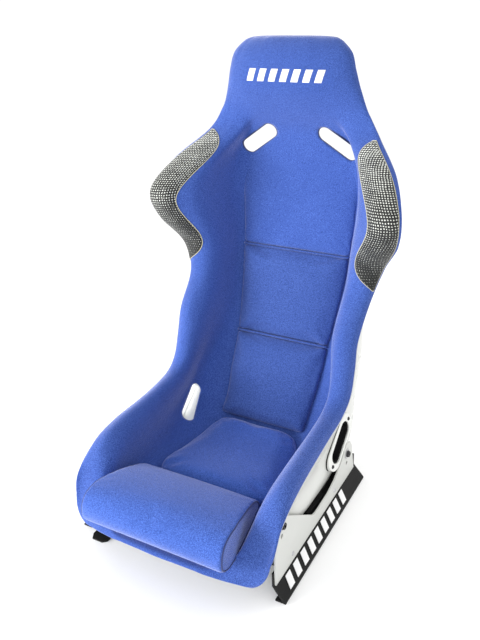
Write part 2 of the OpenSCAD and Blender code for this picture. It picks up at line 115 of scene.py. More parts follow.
def cover_section(s):
    """Control points across the velour: x, share of the way to the bolster's edge, lift to the sitter."""
    e, w, f, h, hh, b = (s[:, k] for k in (EX, RW, FX, RH, HH, SB))
    x = e - w
    hip = e - s[:, SI] - HIP_FOAM
    zero = np.zeros_like(e)
    bowl = section([
        (zero, 0, 0), (0.45 * f, 0, 0), (0.9 * f, 0.01, 0),
        (mix(mix(f, x, 0.5), hip, hh), mix(0.26, 0.3, hh), 0),
        (mix(x - 3, 0.3 * x + 0.7 * hip, hh), mix(0.74, 0.70, hh), 0.12 * h),
        (x + (0.16 + 0.13 * hh) * w, 0.96 - b, 0.62 * h),
        (x + (0.52 + 0.05 * hh) * w, 1 - 0.45 * b, h),
        (x + 0.86 * w, 1, 0.72 * h), (e, 1, 0)])
    head = section([
        (zero, 0, 0), (0.16 * e, 0, 0), (0.34 * e, 0.02, 0), (0.5 * e, 0.06, 0), (0.64 * e, 0.14, 0),
        (0.77 * e, 0.28, 0), (0.89 * e, 0.52, 0), (0.965 * e, 0.78, 0), (e, 1.1, 0)])
    return mix(bowl, head, s[:, HD][:, None, None])


def shell_section(s):
    """Control points across the shell's inner face, like the velour's."""
    e, f, d = s[:, EX], s[:, FX], -s[:, FD]
    w = e - s[:, SI]
    zero = np.zeros_like(e)
    bowl = section([
        (zero, 0, d), (0.5 * f, 0, d), (f, 0, 0.98 * d), (w - 14, 0, 0.84 * d), (w - 1, 0.12, 0.4 * d),
        (w, 0.4, 0), (mix(w, e, 0.2), 0.65, 0), (mix(w, e, 0.6), 0.85, 0), (e - 4, 0.97, 0)])
    head = section([
        (zero, 0, d), (0.2 * e, 0, d), (0.4 * e, 0, d), (0.55 * e, 0, 0.96 * d), (0.7 * e, 0, 0.9 * d),
        (0.8 * e, 0.1, 0.8 * d), (0.88 * e, 0.2, 0.66 * d), (0.94 * e, 0.5, 0.42 * d), (e - 3, 1, 0.16 * d)])
    return mix(bowl, head, s[:, HD][:, None, None])


def along(points, u):
    """Curve through the control points at u, from 0, the middle, to 1, the edge: (u, station, 3)."""
    first = points[:, 1] * (-1, 1, 1)
    last = 2 * points[:, -1] - points[:, -2]
    q = np.concatenate([first[:, None], points, last[:, None]], 1)
    k = u * (points.shape[1] - 1)
    i = np.minimum(np.floor(k).astype(int), points.shape[1] - 2)
    t = (k - i)[None, :, None]
    return np.swapaxes(catmull(q[:, i], q[:, i + 1], q[:, i + 2], q[:, i + 3], t), 0, 1)


def surface(shape, us, vs):
    """Grid of points in metres, a row per u and a column per v."""
    us, vs = np.asarray(us, float), np.asarray(vs, float)
    s = station(vs)
    c = along(shape(s), np.abs(us))
    turn = np.radians(s[:, TH])
    x = np.sign(us)[:, None] * c[..., 0]
    y = mix(s[:, PY], s[:, EY], c[..., 1]) - np.cos(turn) * c[..., 2] + SHIFT_Y
    z = mix(s[:, PZ], s[:, EZ], c[..., 1]) + np.sin(turn) * c[..., 2]
    return np.stack([x, y, z], -1) * MM


def unit(a):
    return a / np.maximum(np.linalg.norm(a, axis=-1, keepdims=True), 1e-9)


def away(grid):
    """Unit normals that point away from the sitter."""
    return unit(np.cross(np.gradient(grid, axis=0), np.gradient(grid, axis=1)))


def pushed(grid, mm):
    return grid + away(grid) * mm * MM


# ---------------- mesh helpers
def add_mesh(name, verts, faces, material, smooth=True):
    mesh = bpy.data.meshes.new(name)
    mesh.from_pydata([tuple(p) for p in verts], [], faces)
    mesh.validate()
    mesh.materials.append(material)
    mesh.polygons.foreach_set("use_smooth", [smooth] * len(mesh.polygons))
    obj = bpy.data.objects.new(name, mesh)
    scene.collection.objects.link(obj)
    return obj


def slab(name, front, back, material, keep=None):
    """Closed solid between two grids of the same size; openings go through the cells that keep leaves out."""
    n, m = front.shape[:2]
    if keep is None:
        keep = np.ones((n - 1, m - 1), bool)
    padded = np.zeros((n + 1, m + 1), bool)
    padded[1:-1, 1:-1] = keep
    faces = []
    for i, j in zip(*np.nonzero(keep)):
        a, b, c, d = i * m + j, (i + 1) * m + j, (i + 1) * m + j + 1, i * m + j + 1
        faces += [(a, b, c, d), (a + n * m, d + n * m, c + n * m, b + n * m)]
    for i, j in zip(*np.nonzero(padded[:-1, 1:-1] != padded[1:, 1:-1])):
        a, b = i * m + j, i * m + j + 1
        if not padded[i + 1, j + 1]:
            a, b = b, a
        faces.append((a, b, b + n * m, a + n * m))
    for i, j in zip(*np.nonzero(padded[1:-1, :-1] != padded[1:-1, 1:])):
        a, b = (i + 1) * m + j, i * m + j
        if not padded[i + 1, j + 1]:
            a, b = b, a
        faces.append((a, b, b + n * m, a + n * m))
    used = sorted({k for f in faces for k in f})
    place = {k: p for p, k in enumerate(used)}
    verts = np.concatenate([front.reshape(-1, 3), back.reshape(-1, 3)])[used]
    return add_mesh(name, verts, [tuple(place[k] for k in f) for f in faces], material)


def tube(name, path, radius, material, closed=False, sides=12):
    """Round cord along a list of points."""
    path = np.asarray(path, float)
    n = len(path)
    ahead = np.roll(path, -1, 0) - np.roll(path, 1, 0)
    if not closed:
        ahead[0], ahead[-1] = path[1] - path[0], path[-1] - path[-2]
    ahead = unit(ahead)
    side = np.zeros_like(path)
    side[0] = unit(np.cross(ahead[0], (0.3, 0.5, 0.81)))
    for i in range(1, n):
        side[i] = unit(side[i - 1] - ahead[i] * np.dot(side[i - 1], ahead[i]))
    up = np.cross(ahead, side)
    angles = np.linspace(0, 2 * math.pi, sides, endpoint=False)
    rings = [path + radius * (math.cos(a) * side + math.sin(a) * up) for a in angles]
    verts = np.stack(rings, 1).reshape(-1, 3)
    faces = []
    for i in range(n if closed else n - 1):
        for k in range(sides):
            a, b = i * sides + k, i * sides + (k + 1) % sides
            c, d = ((i + 1) % n) * sides + (k + 1) % sides, ((i + 1) % n) * sides + k
            faces.append((a, b, c, d))
    if not closed:
        faces += [tuple(range(sides))[::-1], tuple((n - 1) * sides + k for k in range(sides))]
    return add_mesh(name, verts, faces, material)


# ---------------- belt openings
class Opening:
    """Long hole: a centre, the direction it runs in, its axis, and its length and width in metres."""

    def __init__(self, centre, run, axis, length, width):
        self.centre, self.run, self.axis = (np.array(a, float) for a in (centre, run, axis))
        self.across = np.cross(self.axis, self.run)
        self.half, self.radius = (length - width) / 2, width / 2

    def local(self, points):
        return (points - self.centre) @ np.stack([self.run, self.across, self.axis], 1)

    def outside(self, points, reach=0.075):
        """Distance from the outline, below 0 inside it; far from the opening's own wall it is large."""
        p = self.local(points)
        d = np.hypot(np.maximum(np.abs(p[..., 0]) - self.half, 0), p[..., 1]) - self.radius
        return np.where(np.abs(p[..., 2]) < reach, d, 1.0)

    def snapped(self, points, tree):
        """Points moved onto the outline and back onto the surface in tree."""
        p = self.local(points)
        core = np.clip(p[..., 0], -self.half, self.half)
        spoke = unit(np.stack([p[..., 0] - core, p[..., 1]], -1)) * self.radius
        step = spoke + np.stack([core, np.zeros_like(core)], -1) - p[..., :2]
        moved = points + step[..., :1] * self.run + step[..., 1:] * self.across
        hits = [tree.ray_cast(Vector(q - 0.05 * self.axis), Vector(self.axis), 0.12)[0] for q in moved]
        return np.array([q if hit is None else np.array(hit) for q, hit in zip(moved, hits)])

    def outline(self, spare, depth, count=96):
        """Closed line round the opening, spare outside it, at a depth along the axis."""
        r = self.radius + spare
        points = []
        for a in np.linspace(0, 2 * math.pi, count, endpoint=False):
            end = self.half if math.cos(a) >= 0 else -self.half
            points.append(self.centre + self.run * (end + r * math.cos(a)) + self.across * r * math.sin(a)
                          + self.axis * depth)
        return np.array(points)


SHOULDER_TURN, LAP_TURN = math.radians(34), math.radians(38)
SHOULDER_LONG, SHOULDER_WIDE = 0.104, 0.036
LAP_LONG, LAP_WIDE = 0.084, 0.026


def shoulder_opening(side, spare=0.0):
    run = (math.cos(SHOULDER_TURN), 0, -side * math.sin(SHOULDER_TURN))
    centre = (side * 0.097, (SHIFT_Y + 100) * MM, 0.708)
    return Opening(centre, run, (0, 1, 0), SHOULDER_LONG + spare, SHOULDER_WIDE + spare)


def lap_opening(side, spare=0.0):
    run = (0, math.cos(LAP_TURN), math.sin(LAP_TURN))
    centre = (side * 0.192, (SHIFT_Y - 114) * MM, 0.130)
    return Opening(centre, run, (side, 0, 0), LAP_LONG + spare, LAP_WIDE + spare)


def tree_of(grid):
    """Ray-casting tree of a grid of points."""
    n, m = grid.shape[:2]
    faces = [(i * m + j, (i + 1) * m + j, (i + 1) * m + j + 1, i * m + j + 1)
             for i in range(n - 1) for j in range(m - 1)]
    return BVHTree.FromPolygons([Vector(p) for p in grid.reshape(-1, 3)], faces)


def tree_of_piece(obj):
    """Ray-casting tree of a piece's mesh."""
    faces = [tuple(f.vertices) for f in obj.data.polygons]
    return BVHTree.FromPolygons([v.co for v in obj.data.vertices], faces)


def cut(front, back, openings):
    """Snaps both grids to the outlines and says which cells stay."""
    keep = np.ones((front.shape[0] - 1, front.shape[1] - 1), bool)
    trees = [tree_of(front), tree_of(back)]
    for o in openings:
        centre = (front[:-1, :-1] + front[1:, :-1] + front[:-1, 1:] + front[1:, 1:]) / 4
        gone = o.outside(centre) < 0
        keep &= ~gone
        touch_gone = np.zeros(front.shape[:2], int)
        for di in (0, 1):
            for dj in (0, 1):
                touch_gone[di:di + gone.shape[0], dj:dj + gone.shape[1]] += gone
        edge = (touch_gone > 0) & (touch_gone < 4)
        for g, tree in zip((front, back), trees):
            g[edge] = o.snapped(g[edge], tree)
    return keep


# ---------------- materials
class Shader:
    """Small helper round one material's node tree."""

    def __init__(self, name, color, roughness, metallic=0.0, **constants):
        self.mat = bpy.data.materials.new(name)
        self.mat.use_nodes = True
        self.tree = self.mat.node_tree
        self.bsdf = self.tree.nodes["Principled BSDF"]
        self.bsdf.inputs["Base Color"].default_value = (*color, 1)
        self.bsdf.inputs["Roughness"].default_value = roughness
        self.bsdf.inputs["Metallic"].default_value = metallic
        for key, value in constants.items():
            self.bsdf.inputs[key.replace("_", " ")].default_value = value
        self.mat.diffuse_color = (*color, 1)

    def node(self, kind, links=None, **values):
        n = self.tree.nodes.new(kind)
        for key, value in values.items():
            if hasattr(n, key):
                setattr(n, key, value)
            else:
                n.inputs[key.replace("_", " ")].default_value = value
        for socket, source in (links or {}).items():
            self.tree.links.new(source, n.inputs[socket])
        return n

    def place(self, scale=(1, 1, 1), turn=(0, 0, 0)):
        """Object coordinates, scaled and turned."""
        where = self.node("ShaderNodeTexCoord").outputs["Object"]
        m = self.node("ShaderNodeMapping", {"Vector": where})
        m.inputs["Scale"].default_value = scale
        m.inputs["Rotation"].default_value = turn
        return m.outputs["Vector"]

    def noise(self, where, scale, detail=2.0, roughness=0.5):
        n = self.node("ShaderNodeTexNoise", {"Vector": where}, Scale=scale, Detail=detail)
        n.inputs["Roughness"].default_value = roughness
        return n.outputs["Fac"]

    def spread(self, value, low, high, to_low=0.0, to_high=1.0):
        n = self.node("ShaderNodeMapRange", {"Value": value})
        for key, number in (("From Min", low), ("From Max", high), ("To Min", to_low), ("To Max", to_high)):
            n.inputs[key].default_value = number
        return n.outputs["Result"]

    def math(self, operation, a, b=None):
        n = self.node("ShaderNodeMath", operation=operation)
        for socket, value in zip(n.inputs, (a, b)):
            if isinstance(value, (int, float)):
                socket.default_value = value
            elif value is not None:
                self.tree.links.new(value, socket)
        return n.outputs["Value"]

    def blend(self, factor, a, b):
        n = self.node("ShaderNodeMix", data_type="RGBA", blend_type="MIX")
        for name, value in (("Factor", factor), ("A", a), ("B", b)):
            socket = [s for s in n.inputs if s.name == name and s.enabled][0]
            if isinstance(value, tuple):
                socket.default_value = (*value, 1)
            elif isinstance(value, float):
                socket.default_value = value
            else:
                self.tree.links.new(value, socket)
        return [s for s in n.outputs if s.enabled][0]

    def color(self, source):
        self.tree.links.new(source, self.bsdf.inputs["Base Color"])

    def roughness(self, source):
        self.tree.links.new(source, self.bsdf.inputs["Roughness"])

    def bump(self, height, strength, distance, before=None):
        n = self.node("ShaderNodeBump", {"Height": height}, Strength=strength, Distance=distance)
        if before:
            self.tree.links.new(before, n.inputs["Normal"])
        self.tree.links.new(n.outputs["Normal"], self.bsdf.inputs["Normal"])
        return n.outputs["Normal"]


def velour(name, base, light, sheen=1.0):
    """Short-pile velour: fine grain, patches where the nap lies another way, sheen, painted shade on the
    head.
    """
    s = Shader(name, base, 0.9, Sheen_Weight=sheen, Sheen_Roughness=0.40,
               Sheen_Tint=(0.66, 0.71, 1.0, 1), Specular_IOR_Level=0.0)
    where = s.place()
    grain = s.noise(where, 1300, 2.0, 0.6)
    pile = s.noise(where, 620, 2.0, 0.6)
    nap = s.noise(where, 11, 3.0, 0.55)
    speck = s.math("ADD", s.math("MULTIPLY", s.spread(grain, 0.3, 0.7), 0.45),
                   s.math("MULTIPLY", s.spread(pile, 0.3, 0.7), 0.55))
    tone = s.blend(s.spread(speck, 0.25, 0.75), tuple(0.60 * c for c in base), light)
    tone = s.blend(s.spread(nap, 0.35, 0.65, 0.0, 0.2), tone, tuple(0.74 * c for c in base))
    # Painted shade: the velour darkens towards the head, higher up, where less light reaches.
    height = s.node("ShaderNodeSeparateXYZ", {"Vector": where}).outputs["Z"]
    s.color(s.blend(s.spread(height, 0.72, 0.84, 0.0, 0.22), tone, tuple(0.5 * c for c in base)))
    pile_relief = s.bump(pile, 0.45, 0.0014)
    s.bump(grain, 0.5, 0.0007, pile_relief)
    return s.mat


DASH_LONG, DASH_WIDE = 0.0105, 0.0066  # pitch of the weave's dashes, m


def woven(name):
    """Coarse weave of pale and black yarns in slanted dashes, from the panel's own UV map in metres; painted
    shade darkens it lower down.
    """
    s = Shader(name, (0.3, 0.31, 0.29), 0.6, Sheen_Weight=0.25, Sheen_Roughness=0.45, Specular_IOR_Level=0.35)
    uv = s.node("ShaderNodeUVMap", uv_map="yarn").outputs["UV"]
    wobble = s.noise(uv, 60, 2.0)
    m = s.node("ShaderNodeMapping", {"Vector": uv})
    m.inputs["Rotation"].default_value = (0, 0, math.radians(33))
    m.inputs["Scale"].default_value = (2 * math.pi / DASH_LONG, 2 * math.pi / DASH_WIDE, 1)
    xy = s.node("ShaderNodeSeparateXYZ", {"Vector": m.outputs["Vector"]})
    shift = s.math("MULTIPLY", wobble, 4.2)
    warp = s.math("SINE", s.math("ADD", xy.outputs["X"], shift))
    weft = s.math("SINE", s.math("ADD", xy.outputs["Y"], s.math("MULTIPLY", xy.outputs["X"], 0.5)))
    knit = s.math("MULTIPLY", warp, weft)
    fray = s.noise(uv, 620, 2.0)
    worn = s.noise(uv, 26, 2.0)
    height = s.node("ShaderNodeSeparateXYZ", {"Vector": s.place()}).outputs["Z"]
    level = s.math("ADD", s.math("MULTIPLY", knit, 0.60), s.math("MULTIPLY", fray, 1.0))
    level = s.math("ADD", level, s.math("MULTIPLY", s.math("SUBTRACT", worn, 0.5), 0.5))
    # Painted shade and highlight: the weave darkens lower down and lightens a little higher up.
    level = s.math("ADD", level, s.spread(height, 0.45, 0.72, -0.46, 0.05))
    s.color(s.blend(s.spread(level, 0.52, 0.88), (0.004, 0.005, 0.004), (0.76, 0.78, 0.72)))
    s.bump(level, 0.6, 0.0014)
    return s.mat


def thread(name, color):
    """Twisted sewing thread or bound edge."""
    s = Shader(name, color, 0.6, Sheen_Weight=0.2, Specular_IOR_Level=0.3)
    fine = s.noise(s.place(), 1100, 2.0)
    s.color(s.blend(s.spread(fine, 0.3, 0.7), tuple(0.72 * c for c in color), color))
    s.bump(fine, 0.5, 0.0005)
    return s.mat


def satin_stitch(name, color):
    """Dense parallel embroidery threads."""
    s = Shader(name, color, 0.45, Sheen_Weight=0.25, Specular_IOR_Level=0.4)
    where = s.place((1, 0.2, 0.35), (0, math.radians(18), 0))
    lines = s.node("ShaderNodeTexWave", {"Vector": where}, Scale=330, Distortion=0.6, Detail=1.0)
    s.color(s.blend(s.spread(lines.outputs["Fac"], 0.0, 0.6), tuple(0.86 * c for c in color), color))
    s.bump(lines.outputs["Fac"], 0.5, 0.0005)
    return s.mat


def moulded(name, color, roughness, grain=1400, depth=0.0002, **constants):
    """Moulded plastic, gelcoat or powder coat with a fine skin and slight wear in its gloss."""
    s = Shader(name, color, roughness, **constants)
    where = s.place()
    skin = s.noise(where, grain, 3.0, 0.6)
    cloud = s.noise(where, 9, 3.0, 0.6)
    s.color(s.blend(s.spread(cloud, 0.3, 0.7, 0.0, 0.5), color, tuple(0.92 * c for c in color)))
    s.roughness(s.spread(cloud, 0.3, 0.7, roughness - 0.05, roughness + 0.08))
    s.bump(skin, 0.3, depth)
    return s.mat


def metal(name, color, roughness):
    """Plated steel with fine drawn lines."""
    s = Shader(name, color, roughness, 1.0)
    lines = s.noise(s.place((1, 1, 30)), 300, 2.0)
    cloud = s.noise(s.place(), 60, 3.0)
    s.color(s.blend(s.spread(cloud, 0.35, 0.7), color, tuple(0.78 * c for c in color)))
    s.roughness(s.spread(lines, 0.3, 0.7, roughness - 0.06, roughness + 0.1))
    s.bump(lines, 0.15, 0.0002)
    return s.mat


BLUE = (0.037, 0.082, 0.340)
BLUE_LIGHT = (0.084, 0.158, 0.520)
VELOUR = velour("velour", BLUE, BLUE_LIGHT)
# Painted shade: a darker copy of the same velour, with less sheen, for the back pads and their piping.
VELOUR_PAD_SHADED = velour("velour_pad_shaded", (0.034, 0.074, 0.295), (0.080, 0.142, 0.440), 0.62)
# Painted light: a lighter copy of the same velour for the seat and thigh cushions.
VELOUR_SEAT_LIT = velour("velour_seat_lit", (0.036, 0.090, 0.390), (0.088, 0.172, 0.585), 0.80)
WOVEN = woven("woven_grey")
CREAM = thread("cream_binding", (0.62, 0.58, 0.38))
BLUE_THREAD = thread("blue_thread", (0.024, 0.042, 0.170))
WHITE_STITCH = satin_stitch("white_stitch", (0.92, 0.92, 0.92))
GELCOAT = moulded("gelcoat", (0.72, 0.73, 0.70), 0.30, 90, 0.0002, Coat_Weight=0.3, Coat_Roughness=0.12)
BEZEL = moulded("bezel_plastic", (0.84, 0.85, 0.82), 0.38)
# Painted shade: plain black for the +X lap slot's lining, its insert and the ring round its bezel.
SLOT_SHADE_BLACK = moulded("slot_painted_shade", (0.003, 0.003, 0.003), 0.7, Specular_IOR_Level=0.1)
SLOT_BLUE = moulded("slot_blue", (0.02, 0.03, 0.10), 0.5)
PLATE = moulded("plate_coat", (0.66, 0.67, 0.64), 0.42, 1800, 0.0002, Coat_Weight=0.1)
BLACK_COAT = moulded("black_coat", (0.006, 0.006, 0.006), 0.55, 1500, 0.0003, Specular_IOR_Level=0.25)
FILM = moulded("white_film", (0.90, 0.90, 0.90), 0.35)
# Black for the bolt spacers and, as painted shadow, for the strips between shell and side plates.
SPACER_AND_SHADOW_BLACK = moulded("spacer_plastic_and_painted_shadow", (0.003, 0.003, 0.003), 0.7, Specular_IOR_Level=0.1)
ZINC = metal("zinc", (0.62, 0.62, 0.64), 0.32)
BLACK_OXIDE = metal("black_oxide", (0.05, 0.05, 0.055), 0.38)
BRASS = metal("insert_brass", (0.72, 0.52, 0.22), 0.3)
FOAM = moulded("moulded_foam", (0.72, 0.66, 0.42), 0.9, 240, 0.0015)
HOOK = thread("hook_tape", (0.012, 0.012, 0.012))


# ---------------- the velour cover
HEM, HEM_CORE = 2.6, 0.4  # radius of the rolled hem and of the hollow inside it, mm
GRID_U, GRID_V = 181, 14  # points across the velour's grid, and per station along it
SHELL_U = np.linspace(-1, 1, 161)
SHELL_V = np.linspace(0.15, LAST - 2.2, 261)  # the shell stops short of the velour at both ends


def rolled(front, back, axis, at_end):
    """Extends both grids round the hem along one of their borders."""
    f, b = (np.moveaxis(g, axis, 0) for g in (front, back))
    if not at_end:
        f, b = f[::-1], b[::-1]
    normals = unit(b[-1] - f[-1])
    ahead = f[-1] - f[-3]
    ahead = unit(ahead - normals * np.sum(ahead * normals, -1, keepdims=True))
    middle = f[-1] + normals * HEM * MM
    outer, inner = [], []
    for a in np.radians(np.arange(30, 181, 30)):
        turn = math.sin(a) * ahead - math.cos(a) * normals
        outer.append(middle + turn * HEM * MM)
        inner.append(middle + turn * HEM_CORE * MM)
    b = b.copy()
    for k, t in ((1, 1.0), (2, 0.6), (3, 0.3)):
        b[-k] = mix(b[-k], f[-k] + unit(b[-k] - f[-k]) * (HEM - HEM_CORE) * MM, t)
    f, b = np.concatenate([f, np.stack(outer)]), np.concatenate([b, np.stack(inner)])
    if not at_end:
        f, b = f[::-1], b[::-1]
    return np.moveaxis(f, 0, axis), np.moveaxis(b, 0, axis)


OPENINGS = [make(side) for make in (shoulder_opening, lap_opening) for side in (-1, 1)]
FLARE = {"shoulder": 18.0, "lap": 1.2}  # how far a slot's lining opens out towards the back, mm
WIDE_OPENINGS = [make(side, 2 * (FLARE[kind] + 1.8) * MM) for kind, make in
                 (("shoulder", shoulder_opening), ("lap", lap_opening)) for side in (-1, 1)]


def relaxed(grid, rounds):
    """Evens out the grid inside its borders."""
    g = grid.copy()
    for _ in range(rounds):
        beside = g[:-2, 1:-1] + g[2:, 1:-1] + g[1:-1, :-2] + g[1:-1, 2:]
        g[1:-1, 1:-1] = 0.5 * g[1:-1, 1:-1] + 0.125 * beside
    return g


def shaped_lip(grid, us, vs):
    """Sinks a valley under the thigh cushion and rounds the lower corners of the front lip."""
    depth, corner = 9, 8.5  # of the valley and of the corners' swell, mm
    t = np.clip((vs - (LAST - 1.35)) / 1.1, 0, 1)
    middle = np.clip((0.68 - np.abs(us)) / 0.30, 0, 1)[:, None]
    grid = pushed(grid, (depth * np.sin(math.pi * t)**2 * eased(middle))[..., None])
    out = np.clip((np.abs(us) - 0.5) / 0.4, 0, 1)[:, None]
    swell = corner * np.sin(math.pi * np.clip(vs - (LAST - 1), 0, 1)) * eased(out)
    grid[..., 0] += np.sign(us)[:, None] * 0.68 * swell * MM
    grid[..., 2] -= 0.73 * swell * MM
    return grid


def cover_grid():
    """The velour's outer face as a grid, with the wall beside the pads evened out."""
    us, vs = np.linspace(-1, 1, GRID_U), np.linspace(0, LAST, LAST * GRID_V + 1)
    front = relaxed(shaped_lip(relaxed(surface(cover_section, us, vs), 8), us, vs), 3)
    wall = np.clip((np.abs(us) - 0.28) / 0.14, 0, 1) * np.clip((0.76 - np.abs(us)) / 0.12, 0, 1)
    return mix(front, relaxed(front, 90), eased(wall)[:, None, None])


def on_cover(us, vs):
    """Points of the velour's outer face: a row per u and a column per v, or one point per pair."""
    a, b = (np.asarray(us, float) + 1) / 2 * (GRID_U - 1), np.asarray(vs, float) * GRID_V
    i = np.clip(np.floor(a).astype(int), 0, GRID_U - 2)
    j = np.clip(np.floor(b).astype(int), 0, LAST * GRID_V - 1)
    s, t = (a - i)[..., None], (b - j)[..., None]
    g = COVER_GRID
    return mix(mix(g[i, j], g[i + 1, j], s), mix(g[i, j + 1], g[i + 1, j + 1], s), t)


def make_cover():
    """The sewn velour with its foam behind it, as one padded piece."""
    front = COVER_GRID.copy()
    back = pushed(front, COVER_T)
    keep = cut(front, back, OPENINGS)
    for axis in (0, 1):
        for at_end in (False, True):
            front, back = rolled(front, back, axis, at_end)
    wide = np.ones((front.shape[0] - 1, front.shape[1] - 1), bool)
    edge = (front.shape[0] - 1 - keep.shape[0]) // 2
    wide[edge:-edge, edge:-edge] = keep
    cover = slab("velour_bucket", front, back, VELOUR, wide)
    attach(cover, "root")
    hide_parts("velour_cover", "foam_head", "foam_back", "foam_seat",
                "foam_bolster_left", "foam_bolster_right", "foam_lip")
    return cover


def make_shell():
    """Moulded shell, with wider openings than the velour's for the linings' flares."""
    inner = relaxed(surface(shell_section, SHELL_U, SHELL_V), 4)
    outer = pushed(inner, SHELL_T)
    keep = cut(inner, outer, WIDE_OPENINGS)
    shell = slab("shell_moulding", inner, outer, GELCOAT, keep)
    soft = shell.modifiers.new("edges", "BEVEL")
    soft.width, soft.segments, soft.limit_method, soft.angle_limit = 0.0012, 2, "ANGLE", math.radians(60)
    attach(shell, "root")
    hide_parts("shell")


COVER_GRID = cover_grid()


def loft(name, rings, material):
    """Closed solid through closed rings that come back to the first one."""
    n, m = len(rings), len(rings[0])
    verts = np.array(rings).reshape(-1, 3)
    faces = [(i * m + k, i * m + (k + 1) % m, (i + 1) % n * m + (k + 1) % m, (i + 1) % n * m + k)
             for i in range(n) for k in range(m)]
    return add_mesh(name, verts, faces, material)


def half_across(side):
    """Places across the half of the bucket on that side."""
    return (np.linspace(0, 1, 121) * side)[::side]


def shell_outside(us):
    """Ray-casting tree of the shell's outer face."""
    return tree_of(pushed(surface(shell_section, us, SHELL_V), SHELL_T))


def make_slot_lining(kind, side, material):
    """Lining of a belt slot, from the edge of the cover out to the back of the shell."""
    opening = (shoulder_opening if kind == "shoulder" else lap_opening)(side)
    axis = Vector(opening.axis)
    inside = tree_of(COVER_GRID)
    outside = shell_outside(half_across(side) if kind == "lap" else SHELL_U)

    def ring(spare, depth, at_back=False):
        """Outline on the velour or on the shell's back, spare outside the opening, moved by depth, mm."""
        tree, points = (outside if at_back else inside), []
        for p in opening.outline(spare * MM, 0):
            start = Vector(p) + axis * (0.4 if at_back else -0.4)
            if kind == "lap" and not at_back:
                start = Vector((0, p[1], p[2]))
            hit = tree.ray_cast(start, -axis if at_back else axis)[0]
            points.append(np.array(hit) + opening.axis * depth * MM)
        return points

    if kind == "lap":
        collar, stop = 4.0, -SHELL_T - 1.5  # where the velour's collar and the lining end, mm
        deep = [ring(-0.3, collar), ring(0.2, stop, True), ring(1.0, stop, True), ring(1.0, collar)]
        rings = [ring(0.3, 0.3), ring(-0.3, 0.5)]
        if side < 0:
            rings += [ring(-0.3, collar), ring(1.0, collar)]
            sleeve = loft("lap_slot_sleeve_right", deep, BEZEL)
            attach(sleeve, "root")
        else:
            rings += deep
    else:
        flare = FLARE[kind]
        rings = [ring(-0.1, -0.3), ring(-1.2, -0.3), ring(-1.5, 1.0), ring(-1.2, 4.0), ring(flare, 0.3, True),
                 ring(flare + 1.0, 0.9, True), ring(flare + 2.4, 0.9, True), ring(flare + 2.6, 0.1, True),
                 ring(flare + 1.4, -SHELL_T - 0.5, True), ring(0.8, 4.5)]
    if side > 0 or kind == "shoulder":
        rings = rings[::-1]
    obj = loft(f"{kind}_slot_lining_{side_name(side)}", rings, material)
    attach(obj, "root")
    if kind == "shoulder":
        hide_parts("shoulder_slot_liner_" + side_name(side))


BEZEL_WALL_X, BEZEL_H, BEZEL_TILT = 192, 9, math.radians(12)
INSERT_RIM, INSERT_MOUTH = (88.2, 32.2), (79.5, 21.5)  # length and width, mm
INSERT_THROAT, INSERT_BODY = (78.5, 20.5), (81.4, 23.4)
INSERT_DEPTH = 12  # how far it reaches in from the wall, mm
SHADOW_RING, SHADOW_RING_BAND = (122.4, 48.4), 9  # its size, and twice its band's width, mm


def make_bezel_insert():
    """Moulding inside the bezel of the +X lap slot, black as painted shade inside the slot."""
    opening = lap_opening(1)
    centre = opening.centre * (0, 1, 1) + np.array([BEZEL_WALL_X * MM, 0, 0])
    face = opening.across * math.sin(BEZEL_TILT) + opening.axis * math.cos(BEZEL_TILT)
    floor = centre + opening.axis * (BEZEL_H - 3) * MM

    def at(size, depth, tilted=True):
        """Outline of that size on the bezel's tilted floor, or straight on the shell's wall."""
        start, out = (floor, face) if tilted else (centre, opening.axis)
        length, width = size
        return Opening(start, opening.run, out, length * MM, width * MM).outline(0, depth * MM)

    rings = [at(INSERT_RIM, 0.1), at(INSERT_RIM, 0.9), at(INSERT_MOUTH, 0.9), at(INSERT_THROAT, -0.5),
             at(INSERT_THROAT, -INSERT_DEPTH, False), at(INSERT_BODY, -INSERT_DEPTH, False),
             at(INSERT_BODY, 0.1)]
    insert = loft("lap_slot_insert_left", rings[::-1], SLOT_SHADE_BLACK)
    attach(insert, "root")


def make_bezel_shadow_ring():
    """Black ring between the shell's wall and the +X bezel, a painted shadow round the bezel."""
    opening = lap_opening(1)
    wall = shell_outside(half_across(1))
    rings = []
    for less, depth in ((0, -1), (0, 1), (SHADOW_RING_BAND, 1), (SHADOW_RING_BAND, -1)):
        length, width = (size - less for size in SHADOW_RING)
        o = Opening(opening.centre, opening.run, opening.axis, length * MM, width * MM)
        points = []
        for p in o.outline(0, 0):
            hit = wall.ray_cast(Vector((0.4, p[1], p[2])), Vector((-1, 0, 0)))[0]
            points.append(np.array(hit) + opening.axis * depth * MM)
        rings.append(points)
    gasket = loft("bezel_shadow_ring_left", rings, SLOT_SHADE_BLACK)
    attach(gasket, "root")


# ---------------- cushions
CLOTH_PRESSURE, CLOTH_STEPS = 4.0, 20


